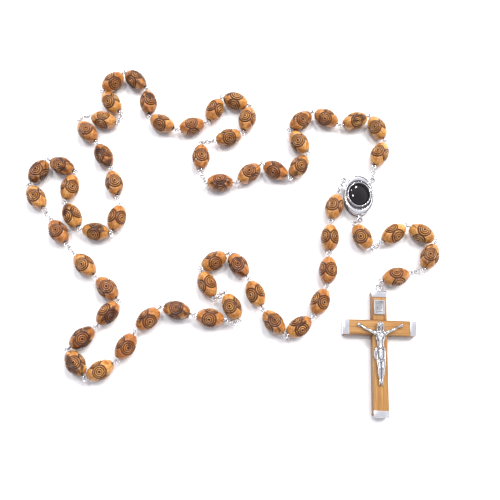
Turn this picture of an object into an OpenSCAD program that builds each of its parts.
// A five-decade rosary of carved wooden beads on silver eye pins, laid out flat.
// The origin is the middle of the centrepiece's flat back, with +Z up and the crucifix towards -Y.
// All lengths are millimetres and all headings are degrees from +X.

/* [Beads] */
// Length of a wooden bead along its bore
bead_length = 10.8; // [10.4:0.1:10.8]
// Diameter of a bead at its middle
bead_diameter = 7.8; // [7.2:0.1:8]
// Diameter of the flat at each end of a bead
bead_end_diameter = 3; // [2.4:0.2:3.6]
// Diameter of the hole along a bead
bore_diameter = 1.1; // [0.9:0.1:1.4]

/* [Wire] */
// Diameter of the silver wire
wire_diameter = 0.6; // [0.5:0.05:0.6]
// Radius of an eye, to the middle of its wire
eye_radius = 0.8; // [0.8:0.02:0.86]
// Straight length between the round ends of a chain link
link_straight = 0.8; // [0.8:0.05:1]
// Radius of a jump ring, to the middle of its wire
jump_ring_radius = 1.5; // [1.5:0.05:1.7]

/* [Centrepiece] */
// Width of the oval lid
lid_width = 12.6; // [12.2:0.1:13]
// Height of the oval lid
lid_height = 17.6; // [17:0.1:18]
// Thickness of the lid's plate
lid_thickness = 1; // [0.8:0.1:1.2]
// Height of the case's wall, up to the lid
case_height = 4.4; // [4.4:0.1:4.8]
// Width of the stone
stone_width = 9; // [8.6:0.1:9.2]
// Height of the stone
stone_height = 10; // [9.6:0.1:10.2]
// Height of the bezel above the lid
bezel_height = 0.8; // [0.6:0.1:1]

/* [Crucifix] */
// Length of the crucifix, over its end caps
cross_length = 50; // [48:0.5:52]
// Width across the arms, over their end caps
cross_span = 29.6; // [28:0.2:31]
// Width of each wooden bar
bar_width = 6; // [5.6:0.1:6.2]
// Thickness of each wooden bar
bar_thickness = 4.4; // [4:0.1:4.6]
// Distance from the top of the crucifix to the middle of the arms
arm_drop = 15; // [14:0.5:16]
// Length of an end cap along its bar
cap_length = 2.6; // [2:0.1:3]
// Thickness of an end cap's metal
cap_wall = 0.3; // [0.25:0.05:0.35]

/* [Hidden] */

wood = "peru";
pale_wood = "burlywood";
silver = "silver";

wire_radius = wire_diameter / 2;
chain_z = bead_diameter / 2;
// The eyes stand a little way off the bead's ends.
eye_gap = 0.1;
eye_offset = eye_radius + wire_radius + eye_gap;
pin_span = bead_length + 2 * eye_offset;
// The shaft is a shade thinner than the eyes, so that it ends inside their wire.
shaft_diameter = wire_diameter - 0.04;
link_count = 3;

// The kinds of piece that a strand is made of
BEAD = 0;
LINK = 1;
RING = 2;

function beads(headings) = [for (h = headings) [h, BEAD]];
function links(heading, count = link_count) = [for (i = [1:count]) [heading, LINK]];
function bent_links(headings) = [for (h = headings) [h, LINK]];
// A strand hangs from its lug on a jump ring and two links.
function hanger(heading) = concat([[heading, RING]], links(heading, link_count - 1));

// Each strand is a list of groups, and each group is one stiff length between two free eyes.
right_groups = [
  concat(hanger(80), beads([65, 115, 200])),
  beads([150, 220, 305, 235]),
  beads([150, 220, 180]),
  concat(links(110), beads([90]), links(10)),
  beads([15, 75, 160]),
  beads([245, 195, 155, 95]),
  beads([140, 225, 310]),
  concat(bent_links([280, 220, 255]), beads([165]), bent_links([190, 185, 230])),
  beads([310, 300, 285])
];
left_groups = [
  concat(hanger(245), beads([255, 265, 265])),
  beads([245, 215, 130, 115]),
  beads([125, 210, 295]),
  concat(bent_links([25, 70, 25]), beads([295]), bent_links([205, 170, 150])),
  beads([170, 165, 225]),
  beads([240, 210, 125, 40]),
  beads([50, 135, 135]),
  concat(links(130), beads([125]), links(125)),
  beads([125, 60, 335]),
  beads([255, 300, 350, 75])
];
pendant_groups = [
  concat([[210, RING]], beads([300])),
  concat(links(35), beads([35])),
  beads([330]),
  beads([245]),
  concat(links(190), beads([195]))
];
crucifix_ring_heading = 250;
crucifix_heading = 268;

// The lugs of the centrepiece, to the middle of each hole
right_lug = [6.2, 7];
left_lug = [-6.2, 7];
bottom_lug = [0, -11];
lug_radius = 1.4;
lug_hole_radius = 0.6;
lug_thickness = 0.7;
lug_neck_width = 1.4;
lug_neck_length = 3;
lug_neck_thickness = 0.6;
// Cutters run this far past what they cut.
past = 1;

function along(heading) = [cos(heading), sin(heading)];
function round_radius(kind) = kind == RING ? jump_ring_radius : eye_radius;
function span(kind) = kind == BEAD ? pin_span : kind == LINK ? link_straight : 0;

// Walks a strand from the eye before it. Each entry is [middle of the near eye, heading, kind,
// near eye lies flat, middle of the far eye, far eye lies flat]. Neighbouring eyes cross at
// right angles, and a turn is about the middle of the flat one.
function walk(pieces, eye, eye_flat = true, eye_size = eye_radius, last = 0, i = 0) =
  i == len(pieces) ? [] :
  let (
    heading = pieces[i][0],
    kind = pieces[i][1],
    reach = eye_flat ? round_radius(kind) : eye_size,
    near = eye + reach * along(eye_flat ? heading : last),
    far = near + span(kind) * along(heading),
    far_flat = kind == BEAD || !eye_flat
  )
  concat(
    [[near, heading, kind, !eye_flat, far, far_flat]],
    walk(pieces, far, far_flat, round_radius(kind), heading, i + 1)
  );

function flatten(groups) = [for (group = groups) for (piece = group) piece];
function count_before(groups, n) = n == 0 ? 0 : len(groups[n - 1]) + count_before(groups, n - 1);
function group_of(strand, groups, n) =
  let (first = count_before(groups, n))
  [for (i = [first:first + len(groups[n]) - 1]) strand[i]];

right_strand = walk(flatten(right_groups), right_lug);
left_strand = walk(flatten(left_groups), left_lug);
pendant_strand = walk(flatten(pendant_groups), bottom_lug);

pendant_end = pendant_strand[len(pendant_strand) - 1][4];
crucifix_ring_centre = pendant_end + jump_ring_radius * along(crucifix_ring_heading);
crucifix_eye_centre = crucifix_ring_centre + jump_ring_radius * along(crucifix_ring_heading);

// Sizes of the centrepiece's case
flange_width = lid_width - 0.2;
flange_height = lid_height - 0.2;
flange_thickness = 0.8;
wall_inset = 0.5;
ridge_inset = 0.2;
ridge_z = 2.2;
ridge_thickness = 0.7;
pocket_width = 8.4;
pocket_height = 12.4;
pocket_floor = 1;
bezel_wall = 0.7;
stone_gap = 0.05;
stone_seat = 0.5;
stone_dome_radius = 11;
stone_rise = 0.9;
oval_step = 7.5;

// Sizes of the crucifix
wood_front = cap_wall + bar_thickness;
wood_length = cross_length - 2 * cap_wall;
wood_span = cross_span - 2 * cap_wall;
half_lap_z = cap_wall + bar_thickness / 2;
screw_eye_radius = 1.1;
screw_eye_wire = 0.7;
screw_eye_reach = 1.5;
screw_shank_length = 5;
screw_shank_diameter = 0.66;
screw_hole_diameter = 0.8;
screw_hole_depth = 5.2;
cap_clearance = 0.02;
plate_width = 4.2;
plate_height = 5.8;
plate_thickness = 0.6;
plate_border = 0.5;
plate_rise = 8.2;
head_radius = 1.45;
head_rise = 0.6;
head_height = 1.5;
hand_radius = 0.8;
hand_height = 0.6;
foot_radius = 1.1;
foot_height = 0.7;
hand_reach = 8.2;
hand_rise = 0.9;
feet_drop = 21.6;
nail_diameter = 0.6;
nail_head_diameter = 1;
nail_head_thickness = 0.3;
nail_clearance = 0.1;
hand_nail_height = 1.36;
feet_nail_height = 1.78;
figure_height = 5;

// Places a piece of a strand with its near eye at the origin and +X along the strand.
module at_piece(piece)
  translate([piece[0][0], piece[0][1], chain_z])
    rotate([0, 0, piece[1]])
      children();

module wire_ring(radius, flat)
  rotate([flat ? 0 : 90, 0, 0])
    rotate_extrude($fn = 48)
      translate([radius, 0])
        circle(d = wire_diameter, $fn = 24);

module bead_body() {
  half = bead_length / 2;
  rise = (bead_diameter - bead_end_diameter) / 2;
  flank_radius = (half * half + rise * rise) / (2 * rise);
  translate([pin_span / 2, 0, 0])
    rotate([0, 90, 0])
      difference() {
        rotate_extrude($fn = 64)
          intersection() {
            translate([bead_diameter / 2 - flank_radius, 0])
              circle(r = flank_radius, $fn = 128);
            translate([0, -half])
              square([bead_diameter, bead_length]);
          }
        cylinder(d = bore_diameter, h = bead_length + 2 * past, center = true, $fn = 32);
      }
}

// An eye pin: its near eye stands across the last one, and its far eye lies flat.
module eye_pin(near_flat) {
  wire_ring(eye_radius, near_flat);
  translate([eye_radius, 0, 0])
    rotate([0, 90, 0])
      cylinder(d = shaft_diameter, h = pin_span - 2 * eye_radius, $fn = 24);
  translate([pin_span, 0, 0])
    wire_ring(eye_radius, true);
}

module half_ring()
  rotate_extrude(angle = 180, $fn = 48)
    translate([eye_radius, 0])
      circle(d = wire_diameter, $fn = 24);

module chain_link(flat)
  rotate([flat ? 0 : 90, 0, 0]) {
    rotate([0, 0, 90])
      half_ring();
    translate([link_straight, 0, 0])
      rotate([0, 0, -90])
        half_ring();
    for (side = [-1, 1])
      translate([0, side * eye_radius, 0])
        rotate([0, 90, 0])
          cylinder(d = wire_diameter, h = link_straight, $fn = 24);
  }

module beads_of(group)
  color(wood)
    for (piece = group)
      if (piece[2] == BEAD)
        at_piece(piece)
          bead_body();

module wire_of(group)
  color(silver)
    for (piece = group)
      at_piece(piece)
        if (piece[2] == BEAD)
          eye_pin(piece[3]);
        else if (piece[2] == LINK)
          chain_link(piece[3]);
        else
          wire_ring(jump_ring_radius, piece[3]);

module right_beads(n) beads_of(group_of(right_strand, right_groups, n));
module right_wire(n) wire_of(group_of(right_strand, right_groups, n));
module left_beads(n) beads_of(group_of(left_strand, left_groups, n));
module left_wire(n) wire_of(group_of(left_strand, left_groups, n));
module pendant_bead(n) beads_of(group_of(pendant_strand, pendant_groups, n - 1));
module pendant_pin(n) wire_of(group_of(pendant_strand, pendant_groups, n - 1));

module oval(width, height)
  polygon([for (a = [0:oval_step:360 - oval_step]) [width / 2 * cos(a), height / 2 * sin(a)]]);

module oval_block(width, height, bottom, thickness)
  translate([0, 0, bottom])
    linear_extrude(thickness)
      oval(width, height);

module lug(place)
  translate([place[0], place[1], chain_z - lug_thickness / 2])
    difference() {
      union() {
        cylinder(r = lug_radius, h = lug_thickness, $fn = 48);
        rotate([0, 0, atan2(-place[1], -place[0])])
          translate([0, -lug_neck_width / 2, (lug_thickness - lug_neck_thickness) / 2])
            cube([lug_neck_length, lug_neck_width, lug_neck_thickness]);
      }
      translate([0, 0, -past])
        cylinder(r = lug_hole_radius, h = lug_thickness + 2 * past, $fn = 32);
    }

// The cast case: a flange, a wall with a ridge round it, a pocket, and three lugs
module centrepiece_case()
  color(silver)
    difference() {
      union() {
        oval_block(flange_width, flange_height, 0, flange_thickness);
        oval_block(
          flange_width - 2 * wall_inset, flange_height - 2 * wall_inset, flange_thickness / 2,
          case_height - flange_thickness / 2
        );
        oval_block(
          flange_width - 2 * ridge_inset, flange_height - 2 * ridge_inset, ridge_z, ridge_thickness
        );
        for (place = [right_lug, left_lug, bottom_lug])
          lug(place);
      }
      oval_block(pocket_width, pocket_height, pocket_floor, case_height);
    }

module centrepiece_lid()
  color(silver)
    difference() {
      oval_block(lid_width, lid_height, case_height, lid_thickness);
      oval_block(
        stone_width - 2 * stone_seat, stone_height - 2 * stone_seat, case_height - past,
        lid_thickness + 2 * past
      );
    }

module centrepiece_bezel()
  color(silver)
    difference() {
      oval_block(
        stone_width + 2 * bezel_wall, stone_height + 2 * bezel_wall, case_height + lid_thickness,
        bezel_height
      );
      oval_block(
        stone_width, stone_height, case_height + lid_thickness - past, bezel_height + 2 * past
      );
    }

module centrepiece_stone()
  color("black") {
    base = case_height + lid_thickness;
    intersection() {
      oval_block(
        stone_width - 2 * stone_gap, stone_height - 2 * stone_gap, base,
        bezel_height + stone_rise
      );
      translate([0, 0, base + bezel_height + stone_rise - stone_dome_radius])
        sphere(r = stone_dome_radius, $fn = 96);
    }
  }

// Places the crucifix with its top edge at the origin and its foot towards +X.
module at_crucifix()
  translate([crucifix_eye_centre[0], crucifix_eye_centre[1], 0])
    rotate([0, 0, crucifix_heading])
      translate([screw_eye_reach, 0, 0])
        children();

module crucifix_jump_ring()
  color(silver)
    translate([crucifix_ring_centre[0], crucifix_ring_centre[1], chain_z])
      rotate([0, 0, crucifix_ring_heading])
        wire_ring(jump_ring_radius, false);

module crucifix_eye()
  color(silver)
    at_crucifix()
      translate([-screw_eye_reach, 0, chain_z]) {
        rotate_extrude($fn = 48)
          translate([screw_eye_radius, 0])
            circle(d = screw_eye_wire, $fn = 24);
        translate([screw_eye_radius, 0, 0])
          rotate([0, 90, 0])
            cylinder(
              d = screw_shank_diameter, h = screw_shank_length + screw_eye_reach - screw_eye_radius,
              $fn = 24
            );
      }

module screw_hole()
  translate([-past, 0, chain_z])
    rotate([0, 90, 0])
      cylinder(d = screw_hole_diameter, h = screw_hole_depth + past, $fn = 24);

module crucifix_upright()
  color(pale_wood)
    at_crucifix()
      difference() {
        translate([cap_wall, -bar_width / 2, cap_wall])
          cube([wood_length, bar_width, bar_thickness]);
        arm_notch();
        screw_hole();
      }

// The front half of the upright is cut away where the arm crosses it.
module arm_notch()
  translate([arm_drop - bar_width / 2, -bar_width / 2 - past, half_lap_z])
    cube([bar_width, bar_width + 2 * past, bar_thickness]);

module crucifix_arm()
  color(pale_wood)
    at_crucifix()
      difference() {
        translate([arm_drop - bar_width / 2, -wood_span / 2, cap_wall])
          cube([bar_width, wood_span, bar_thickness]);
        translate([arm_drop - bar_width / 2 - past, -bar_width / 2, 0])
          cube([bar_width + 2 * past, bar_width, half_lap_z]);
      }

// A cap is a strip of metal folded over the end of a bar: front, end and back.
module end_cap()
  translate([0, -bar_width / 2, 0])
    difference() {
      cube([cap_length, bar_width, bar_thickness + 2 * cap_wall]);
      translate([cap_wall - cap_clearance, -past, cap_wall - cap_clearance])
        cube([cap_length, bar_width + 2 * past, bar_thickness + 2 * cap_clearance]);
    }

module crucifix_end_caps()
  color(silver)
    at_crucifix() {
      difference() {
        end_cap();
        screw_hole();
      }
      translate([cross_length, 0, 0])
        rotate([0, 0, 180])
          end_cap();
      for (side = [-1, 1])
        translate([arm_drop, side * cross_span / 2, 0])
          rotate([0, 0, -side * 90])
            end_cap();
    }

module title_plate()
  color(silver)
    at_crucifix()
      translate([arm_drop - plate_rise, 0, wood_front])
        difference() {
          translate([-plate_height / 2, -plate_width / 2, 0])
            cube([plate_height, plate_width, plate_thickness]);
          translate([plate_border - plate_height / 2, plate_border - plate_width / 2, plate_thickness / 2])
            cube([plate_height - 2 * plate_border, plate_width - 2 * plate_border, plate_thickness]);
        }

// A round limb from one point to another
module limb(start, end, radius) {
  run = end - start;
  translate(start)
    rotate([0, acos(run[2] / norm(run)), atan2(run[1], run[0])])
      cylinder(r = radius, h = norm(run), $fn = 32);
}

module ball(x, z, radius)
  translate([x, 0, z])
    sphere(r = radius, $fn = 48);

// The figure, with its crossing point level with the arms and +X towards its feet
module corpus()
  color(silver)
    at_crucifix()
      translate([arm_drop, 0, wood_front])
        difference() {
          union() {
            ball(-head_rise, head_height, head_radius);
            limb([0, 0, 1.3], [4, 0, 1.2], 0.8);
            ball(4.6, 0.9, 2.1);
            limb([4.5, 0, 1], [9, 0, 1], 1.5);
            ball(9.8, 0.9, 2);
            for (side = [-1, 1]) {
              limb([4, side * 1.2, 1.1], [-hand_rise, side * hand_reach, 0.7], 0.6);
              translate([-hand_rise, side * hand_reach, hand_height])
                sphere(r = hand_radius, $fn = 32);
              limb([10, side * 0.8, 1.2], [16.6, side * 0.6, 1.4], 0.95);
              limb([16, side * 0.6, 1.35], [feet_drop, side * 0.4, 0.85], 0.7);
            }
            translate([feet_drop, 0, foot_height])
              sphere(r = foot_radius, $fn = 32);
          }
          // Nothing of the figure goes behind the wood's face.
          translate([-cross_length / 2, -cross_span / 2, -figure_height])
            cube([cross_length, cross_span, figure_height]);
          nail_holes();
        }

// Places a nail through each hand and one through the feet.
module at_nails() {
  for (side = [-1, 1])
    translate([-hand_rise, side * hand_reach, 0])
      children(0);
  translate([feet_drop, 0, 0])
    children(1);
}

module nail_hole()
  translate([0, 0, -past])
    cylinder(d = nail_diameter + nail_clearance, h = figure_height, $fn = 24);

module nail_holes()
  at_nails() {
    nail_hole();
    nail_hole();
  }

module nail(height) {
  cylinder(d = nail_diameter, h = height + nail_head_thickness, $fn = 24);
  translate([0, 0, height])
    cylinder(d = nail_head_diameter, h = nail_head_thickness, $fn = 24);
}

module crucifix_nails()
  color(silver)
    at_crucifix()
      translate([arm_drop, 0, wood_front])
        at_nails() {
          nail(hand_nail_height);
          nail(feet_nail_height);
        }

centrepiece_case();
centrepiece_lid();
centrepiece_bezel();
centrepiece_stone();
pendant_bead(1);  // pendant_bead_1
pendant_bead(2);  // pendant_bead_2
pendant_bead(3);  // pendant_bead_3
pendant_bead(4);  // pendant_bead_4
pendant_bead(5);  // pendant_bead_5
pendant_pin(1);  // pendant_pin_1
pendant_pin(2);  // pendant_pin_2
pendant_pin(3);  // pendant_pin_3
pendant_pin(4);  // pendant_pin_4
pendant_pin(5);  // pendant_pin_5
crucifix_jump_ring();
crucifix_eye();
crucifix_upright();
crucifix_arm();
crucifix_end_caps();
title_plate();
corpus();
crucifix_nails();
right_beads(0);  // decade_1a_beads
right_beads(1);  // decade_1b_beads
right_beads(2);  // decade_1c_beads
right_beads(3);  // divider_bead_1
right_beads(4);  // decade_2a_beads
right_beads(5);  // decade_2b_beads
right_beads(6);  // decade_2c_beads
right_beads(7);  // divider_bead_2
right_beads(8);  // decade_3a_beads
left_beads(0);  // decade_5c_beads
left_beads(1);  // decade_5b_beads
left_beads(2);  // decade_5a_beads
left_beads(3);  // divider_bead_4
left_beads(4);  // decade_4c_beads
left_beads(5);  // decade_4b_beads
left_beads(6);  // decade_4a_beads
left_beads(7);  // divider_bead_3
left_beads(8);  // decade_3c_beads
left_beads(9);  // decade_3b_beads
right_wire(0);  // decade_1a_pins
right_wire(1);  // decade_1b_pins
right_wire(2);  // decade_1c_pins
right_wire(3);  // divider_pin_1
right_wire(4);  // decade_2a_pins
right_wire(5);  // decade_2b_pins
right_wire(6);  // decade_2c_pins
right_wire(7);  // divider_pin_2
right_wire(8);  // decade_3a_pins
left_wire(0);  // decade_5c_pins
left_wire(1);  // decade_5b_pins
left_wire(2);  // decade_5a_pins
left_wire(3);  // divider_pin_4
left_wire(4);  // decade_4c_pins
left_wire(5);  // decade_4b_pins
left_wire(6);  // decade_4a_pins
left_wire(7);  // divider_pin_3
left_wire(8);  // decade_3c_pins
left_wire(9);  // decade_3b_pins
